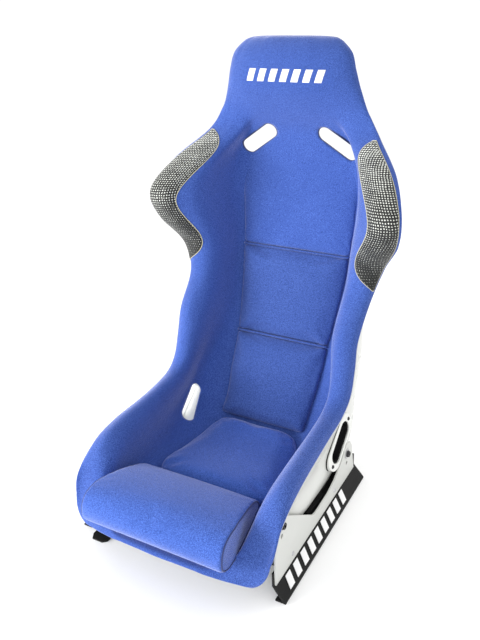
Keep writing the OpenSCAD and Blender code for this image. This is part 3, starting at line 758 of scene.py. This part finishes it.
def puffed(obj, voxel, cap, hold, rounds=4):
    """Cloth pass: the closed form swells, held where hold says, and no point moves further than cap."""
    mod = obj.modifiers.new("remesh", "REMESH")
    mod.mode, mod.voxel_size = "VOXEL", voxel
    depsgraph = bpy.context.evaluated_depsgraph_get()
    mesh = bpy.data.meshes.new_from_object(obj.evaluated_get(depsgraph))
    material = obj.data.materials[0]
    obj.modifiers.clear()
    obj.data = mesh
    mesh.materials.clear()
    mesh.materials.append(material)
    rest = np.zeros(len(mesh.vertices) * 3)
    mesh.vertices.foreach_get("co", rest)
    rest = rest.reshape(-1, 3)
    group = obj.vertex_groups.new(name="held")
    group.add([int(k) for k in np.nonzero(hold(rest) <= 0)[0]], 1.0, "REPLACE")
    cloth = obj.modifiers.new("cloth", "CLOTH").settings
    cloth.use_pressure = True
    cloth.uniform_pressure_force = CLOTH_PRESSURE
    cloth.effector_weights.gravity = 0
    cloth.vertex_group_mass = "held"
    for step in range(1, CLOTH_STEPS + 1):
        scene.frame_set(step)
    depsgraph = bpy.context.evaluated_depsgraph_get()
    swollen = np.zeros(len(mesh.vertices) * 3)
    obj.evaluated_get(depsgraph).data.vertices.foreach_get("co", swollen)
    obj.modifiers.clear()
    obj.vertex_groups.clear()
    scene.frame_set(1)
    move = swollen.reshape(-1, 3) - rest
    size = np.linalg.norm(move, axis=1, keepdims=True)
    limit = cap * np.clip(hold(rest), 0, 1)[:, None]
    move *= limit * np.tanh(size / np.maximum(limit, 1e-6)) / np.maximum(size, 1e-9)
    mesh.vertices.foreach_set("co", (rest + move).ravel())
    mesh.polygons.foreach_set("use_smooth", [True] * len(mesh.polygons))
    even = obj.modifiers.new("even", "SMOOTH")
    even.factor, even.iterations = 0.5, rounds
    fine = obj.modifiers.new("fine", "SUBSURF")
    fine.levels = fine.render_levels = 1
    bake_modifiers(obj)


def bake_modifiers(obj):
    depsgraph = bpy.context.evaluated_depsgraph_get()
    mesh = bpy.data.meshes.new_from_object(obj.evaluated_get(depsgraph))
    obj.modifiers.clear()
    obj.data = mesh


def floor_frame(vs):
    """Middle line of the bucket's floor in metres, and the direction from the floor to the sitter."""
    s = station(vs)
    line = np.stack([np.zeros(len(vs)), s[:, PY] + SHIFT_Y, s[:, PZ]], -1) * MM
    ahead = unit(np.gradient(line, axis=0))
    return line, np.stack([np.zeros(len(vs)), ahead[:, 2], -ahead[:, 1]], -1), s[:, FX] * MM


def round_square(a, b, power):
    """Share of the way in from a square's border so that its corners come out round."""
    big = np.maximum(np.abs(a), np.abs(b))
    return np.where(big > 0, big / np.maximum((np.abs(a)**power + np.abs(b)**power)**(1 / power), 1e-9), 1)


def floor_pad(name, node, v0, v1, thick, side_gap, fade=None, swell=0.006, corner=26, material=VELOUR_PAD_SHADED):
    """Crowned pad on the bucket's floor. fade is the stretch of v over which its top sinks into the cover."""
    nu, nv = 61, 71
    a = np.sin(np.linspace(-math.pi / 2, math.pi / 2, nu))[:, None]
    b = np.sin(np.linspace(-math.pi / 2, math.pi / 2, nv))[None, :]
    pull = round_square(a, b, corner)
    centre, half = (v0 + v1) / 2, (v1 - v0) / 2
    fine = np.linspace(v0 - 0.2, v1 + 0.2, 400)
    line, toward, width = floor_frame(fine)
    v = centre + half * b * pull
    pick = [np.interp(v, fine, c) for c in (*line.T, *toward.T, width)]
    base = np.stack(pick[:3], -1)
    toward = np.stack(pick[3:6], -1)
    base[..., 0] = a * pull * (0.94 * pick[6] - side_gap * MM)
    edge = np.maximum(np.abs(a), np.abs(b))
    height = thick * mix(0.42, 0.88, np.sqrt(np.clip(1 - edge**22, 0, 1)) * (1 - 0.10 * edge**3))
    low = np.full_like(height, 2.0)  # underside of the pad, mm above the floor
    if fade:
        strength = np.clip((v - fade[0]) / (fade[1] - fade[0]), 0, 1)
        strength = eased(strength)
        height = mix(-0.8, height, strength)
        low = mix(-9.0, low, strength)
    top = base + toward * (height * MM)[..., None]
    bottom = base + toward * (low * MM)[..., None]
    obj = slab(name, top, bottom, material)

    def hold(points):
        """Held up to 4 mm above the floor, free from 9 mm; a faded end is held too."""
        spots = np.argmin(np.linalg.norm(points[:, None, 1:] - line[None, ::4, 1:], axis=2), axis=1) * 4
        above = np.sum((points - line[spots]) * floor_frame(fine)[1][spots], axis=1) / MM
        share = np.clip((above - 4) / 5, 0, 1)
        if fade:
            share *= np.clip((fine[spots] - fade[0] - 0.3) / 1.5, 0, 1)
        return share

    puffed(obj, 0.0045, swell, hold)
    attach(obj, "root")
    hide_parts(node)


def make_pad_piping(name, v, thick):
    """Cord of the same velour that closes the joint between two pads, a little below their tops."""
    fine = np.linspace(v - 0.2, v + 0.2, 41)
    line, toward, width = floor_frame(fine)
    path = []
    for a in np.linspace(-0.985, 0.985, 81):
        height = thick * mix(0.42, 0.88, math.sqrt(1 - max(abs(a), 0.9)**22)) * (1 - 0.10 * abs(a)**3) - 5.0
        path.append(line[20] + toward[20] * height * MM + np.array([a * (0.94 * width[20] + 4 * MM), 0, 0]))
    cord = tube(name, path, 0.0026, VELOUR_PAD_SHADED)
    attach(cord, "root")


# Side view of the thigh cushion (y, z), mm: from its back edge over the top, round the front and under.
THIGH_OUTLINE = [
    (-320, 96), (-322, 112), (-340, 126), (-372, 138), (-408, 147), (-444, 150), (-464, 148), (-477, 141),
    (-485, 129), (-488, 115), (-486, 101), (-478, 91), (-460, 86), (-410, 88), (-350, 91)]
THIGH_MIDDLE = np.array([-405, 118])
SEAM_INWARD = 3.6  # from the outline to the seam on each end, mm


def closed_curve(points, per_side):
    """Smooth closed line through the points."""
    p = np.array(points, float)
    t = np.linspace(0, 1, per_side, endpoint=False)[:, None]
    n = len(p)
    return np.concatenate([catmull(p[i - 1], p[i], p[(i + 1) % n], p[(i + 2) % n], t) for i in range(n)])


def thigh_half_width(y):
    """Half width of the thigh cushion, mm, at a place y along the seat."""
    return mix(124, 147, np.clip((-316 - y) / 130, 0, 1))


def inward_from(y, z):
    """Unit direction from a point of the side view to its middle."""
    inward = THIGH_MIDDLE - (y, z)
    return inward / np.linalg.norm(inward)


def make_thigh_cushion():
    """Cushion under the thighs, with a seam round each of its ends."""
    outline = closed_curve(THIGH_OUTLINE, 6)
    rings = []
    edge = 3.5  # radius of the border round each end cap, mm
    stations = [(t, 0.0) for t in np.linspace(0, 1, 25)[:-1]]
    stations += [(1.0, a) for a in np.linspace(0, math.pi / 2, 6)]
    stations = [(-t, a) for t, a in stations[:0:-1]] + stations
    for t, a in stations:
        ring = []
        for y, z in outline:
            cap = thigh_half_width(y) - edge
            y, z = (y, z) + inward_from(y, z) * edge * (1 - math.cos(a))
            ring.append((t * cap + math.copysign(edge * math.sin(a), t), y + SHIFT_Y, z))
        rings.append(ring)
    rings = np.array(rings) * MM
    n = len(outline)
    faces = [(i * n + k, (i + 1) * n + k, (i + 1) * n + (k + 1) % n, i * n + (k + 1) % n)
             for i in range(len(rings) - 1) for k in range(n)]
    faces += [tuple(range(n)), tuple(range((len(rings) - 1) * n, len(rings) * n))[::-1]]
    obj = add_mesh("thigh_cushion", rings.reshape(-1, 3), faces, VELOUR_SEAT_LIT)

    def hold(p):
        ends = np.clip((thigh_half_width(p[:, 1] / MM - SHIFT_Y) - np.abs(p[:, 0]) / MM - 2) / 30, 0, 1)
        return np.clip((p[:, 2] - 0.092) / 0.008, 0, 1) * ends

    puffed(obj, 0.0040, 0.005, hold, rounds=1)
    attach(obj, "root")
    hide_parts("thigh_pad")
    tree = tree_of_piece(obj)
    for side in (1, -1):
        path = []
        for y, z in outline:
            y, z = (y, z) + inward_from(y, z) * SEAM_INWARD
            x = thigh_half_width(y) + 1.0
            near = tree.find_nearest(Vector((side * x, y + SHIFT_Y, z)) * MM)
            path.append(np.array(near[0]) + np.array(near[1]) * 0.2 * MM)
        seam = tube("thigh_seam_" + side_name(side), path, 0.0015, BLUE_THREAD, True, 8)
        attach(seam, "root")


# ---------------- shoulder patches
def make_patch(side):
    """Woven patch on a wing, narrower at its ends, with a cream binding round it."""
    nv, nu = 121, 31
    vs = np.linspace(6.0, 10.72, nv)
    t = 2 * np.linspace(0, 1, nv) - 1
    inner = 0.657 + 0.045 * np.cos(np.radians(250 * t)) + 0.05 * t + 0.25 * np.abs(t)**6
    outer = mix(0.968, 0.89, np.clip((7.9 - vs) / 1.6, 0, 1))
    shares = np.linspace(0, 1, nu)
    across_u = mix(inner[None, :], outer[None, :], shares[:, None])
    base = on_cover(across_u, np.broadcast_to(vs, across_u.shape))
    edge = np.minimum(np.minimum(shares, 1 - shares)[:, None] * 14, (1 - np.abs(t))[None, :] * 18)
    lift = mix(0.8, 2.3, np.clip(edge, 0, 1)**0.5)
    normals = away(base)
    front = base - normals * lift[..., None] * MM
    back = base + normals * 0.6 * MM
    if side < 0:
        front, back = front[::-1] * (-1, 1, 1), back[::-1] * (-1, 1, 1)
    obj = slab("wing_patch_" + side_name(side), front, back, WOVEN)
    across = np.concatenate([np.zeros((1, nv)), np.cumsum(np.linalg.norm(np.diff(front, axis=0), axis=2), 0)])
    down = np.concatenate([[0], np.cumsum(np.linalg.norm(np.diff(front[nu // 2], axis=0), axis=1))])
    uv = np.stack([across, np.broadcast_to(down, across.shape)], -1).reshape(-1, 2)
    layer = obj.data.uv_layers.new(name="yarn")
    loops = np.array([l.vertex_index for l in obj.data.loops]) % len(uv)
    layer.data.foreach_set("uv", uv[loops].ravel())
    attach(obj, "root")
    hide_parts("shoulder_patch_" + side_name(side))
    border = np.concatenate([front[0], front[1:, -1], front[-1, ::-1], front[:0:-1, 0]])
    binding = tube("patch_binding_" + side_name(side), border, 0.0008, CREAM, True, 8)
    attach(binding, "root")


# ---------------- embroidery on the head
def surface_hit(tree, x, z):
    """Point and normal of the cover's face at x, z."""
    place, normal, _, _ = tree.ray_cast(Vector((x, -0.6, z)), Vector((0, 1, 0)))
    return np.array(place), np.array(normal)


def make_head_bars(tree):
    """Seven plain slanted bars in satin stitch; sizes in mm."""
    count, pitch, wide, tall, slant, level = 7, 27, 16, 27, 5, 856
    rim, crown, sunk = 0.35, 0.9, -0.4
    verts, faces = [], []
    nu, nv = 9, 13
    for bar in range(count):
        middle = (bar - (count - 1) / 2) * pitch
        first = len(verts)
        for layer in (0, 1):
            for a in np.linspace(-1, 1, nu):
                for b in np.linspace(-1, 1, nv):
                    x, z = middle + a * wide / 2 + b * slant, level + b * tall / 2
                    place, normal = surface_hit(tree, x * MM, z * MM)
                    dome = (1 - abs(a)**4) * (1 - abs(b)**6)
                    verts.append(place + normal * ((rim + crown * dome) if layer == 0 else sunk) * MM)
        size = nu * nv
        for i in range(nu - 1):
            for j in range(nv - 1):
                q = [first + k for k in (i * nv + j, (i + 1) * nv + j, (i + 1) * nv + j + 1, i * nv + j + 1)]
                faces += [tuple(q), tuple(k + size for k in q[::-1])]
        ring = [i * nv for i in range(nu)] + [(nu - 1) * nv + j for j in range(1, nv)]
        ring += [i * nv + nv - 1 for i in range(nu - 2, -1, -1)] + list(range(nv - 2, 0, -1))
        for p, q in zip(ring, ring[1:] + ring[:1]):
            faces.append((first + q, first + p, first + p + size, first + q + size))
    obj = add_mesh("head_bars", verts, faces, WHITE_STITCH)
    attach(obj, "root")
    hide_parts("head_emblem")


# ---------------- strips between shell and side plates, black as painted shadow of the gap
# Top edge of the strip in side view (y, z), mm.
PLATE_SHADOW_TOP = [
    (-262, 66), (-233, 61), (-203, 57), (-179, 52), (-160, 53), (-144, 56), (-128, 60), (-111, 66),
    (-94, 74), (-81, 81), (-63, 84)]
PLATE_SHADOW_TALL = 12
PLATE_SHADOW_X = (186, 195.5)  # from the shell's wall to the side plate


def make_plate_shadow_strip(side):
    """Black strip between the shell and the side plate, painted shadow of the gap between them."""
    outline = [(y, z) for y, z in PLATE_SHADOW_TOP] + [(y, z - PLATE_SHADOW_TALL) for y, z in PLATE_SHADOW_TOP[::-1]]
    verts = [(side * x * MM, (y + SHIFT_Y) * MM, z * MM) for x in PLATE_SHADOW_X for y, z in outline]
    n = len(outline)
    half = len(PLATE_SHADOW_TOP)
    quads = [(k, k + 1, n - 2 - k, n - 1 - k) for k in range(half - 1)]
    faces = quads + [tuple(k + n for k in q[::-1]) for q in quads]
    faces += [(k, k + n, (k + 1) % n + n, (k + 1) % n) for k in range(n)]
    if side > 0:
        faces = [f[::-1] for f in faces]
    pad = add_mesh("plate_shadow_strip_" + side_name(side), verts, faces, SPACER_AND_SHADOW_BLACK, smooth=False)
    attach(pad, "root")


# ---------------- carried-over parts
NODE_MATERIALS = {
    "lap_slot_bezel": BEZEL, "bezel_screws": BLACK_OXIDE,
    "insert_plate": ZINC, "threaded_inserts": BRASS, "fastener_strips": HOOK, "side_plate": PLATE,
    "base_rail": BLACK_COAT, "rail_bars": FILM, "rail_rivets": ZINC, "seat_bolts": BLACK_OXIDE,
    "bolt_washers": ZINC, "bolt_spacers": SPACER_AND_SHADOW_BLACK, "foam": FOAM, "shell": GELCOAT,
}
# Width of the bevel on each edge, m.
BEVELLED = {"side_plate": 0.0006, "base_rail": 0.0006, "rail_bars": 0.0003, "lap_slot_bezel": 0.0012}


def finish_nodes():
    """Materials and small bevels on the CAD pieces that stay."""
    for name, obj in nodes.items():
        for prefix, material in NODE_MATERIALS.items():
            if name.startswith(prefix):
                obj.data.materials.clear()
                obj.data.materials.append(material)
        for prefix, width in BEVELLED.items():
            if name.startswith(prefix):
                mod = obj.modifiers.new("edges", "BEVEL")
                mod.width, mod.segments, mod.limit_method = width, 2, "ANGLE"
                mod.angle_limit = math.radians(50)
                mod.use_clamp_overlap = True


# ---------------- stage
def make_stage():
    """White floor and surround, a key light from the -X side, a low fill and a back light."""
    bpy.ops.mesh.primitive_plane_add(size=14)
    floor = bpy.context.object
    floor.name = "floor"
    s = Shader("floor_paper", (0.97, 0.97, 0.97), 0.9)
    s.bump(s.noise(s.place(), 40, 2.0), 0.05, 0.001)
    floor.data.materials.append(s.mat)

    world = bpy.data.worlds.new("studio")
    scene.world = world
    world.use_nodes = True
    world.node_tree.nodes["Background"].inputs["Color"].default_value = (1, 1, 1, 1)
    world.node_tree.nodes["Background"].inputs["Strength"].default_value = 1.08
    for name, place, aim, size, power in (  # metres and watts
            ("key", (-1.7, -1.6, 0.45), (-0.1, -0.2, 0.2), 1.3, 84),
            ("fill", (0.2, -2.4, 0.2), (0, -0.3, 0.12), 0.9, 12),
            ("back", (0.4, 2.4, 2.4), (0, 0, 0.4), 2.2, 20)):
        light = bpy.data.lights.new(name, "AREA")
        light.energy, light.size = power, size
        lamp = bpy.data.objects.new(name, light)
        lamp.location = place
        lamp.rotation_euler = (Vector(aim) - Vector(place)).to_track_quat("-Z", "Y").to_euler()
        scene.collection.objects.link(lamp)
    scene.view_settings.view_transform = "Standard"


def make_camera():
    """Camera at the seat's front, towards its +X side and a little above; angles in radians."""
    azimuth, elevation = 0.448, 0.244
    level = math.cos(elevation)
    right = Vector((math.cos(azimuth), math.sin(azimuth), 0))
    back = Vector((math.sin(azimuth) * level, -math.cos(azimuth) * level, math.sin(elevation)))
    data = bpy.data.cameras.new("camera")
    data.lens, data.shift_x, data.shift_y = 38.117, -0.09375, -0.1875
    camera = bpy.data.objects.new("camera", data)
    turn = Matrix((right, back.cross(right), back)).transposed()
    camera.matrix_world = Matrix.Translation((0.6570, -1.0782, 0.9463)) @ turn.to_4x4()
    scene.collection.objects.link(camera)
    scene.camera = camera


make_camera()
make_stage()
finish_nodes()
cover = make_cover()
make_shell()
floor_pad("upper_panel", "upper_back_pad", V_UPPER_TOP, V_SEAM_1 - 0.012, 15, -4,
          fade=(7.25, 8.7), swell=0.003, material=VELOUR)
floor_pad("middle_pad", "middle_back_pad", V_SEAM_1 + 0.012, V_SEAM_2 - 0.012, 22, -4)
floor_pad("lower_pad", "lower_back_pad", V_SEAM_2 + 0.012, V_BEND - 0.02, 22, -4)
floor_pad("seat_cushion", "seat_pad", V_BEND + 0.10, V_THIGH - 0.02, 30, -4, corner=5, material=VELOUR_SEAT_LIT)
make_pad_piping("pad_piping_upper", V_SEAM_1, 18)
make_pad_piping("pad_piping_lower", V_SEAM_2, 22)
make_thigh_cushion()
for side in (1, -1):
    make_patch(side)
    make_slot_lining("shoulder", side, SLOT_BLUE)
    # Painted shade: the +X lap lining is black, the -X one velour.
    make_slot_lining("lap", side, SLOT_SHADE_BLACK if side > 0 else VELOUR)
    make_plate_shadow_strip(side)
    if side > 0:
        make_bezel_shadow_ring()
make_bezel_insert()

make_head_bars(tree_of_piece(cover))
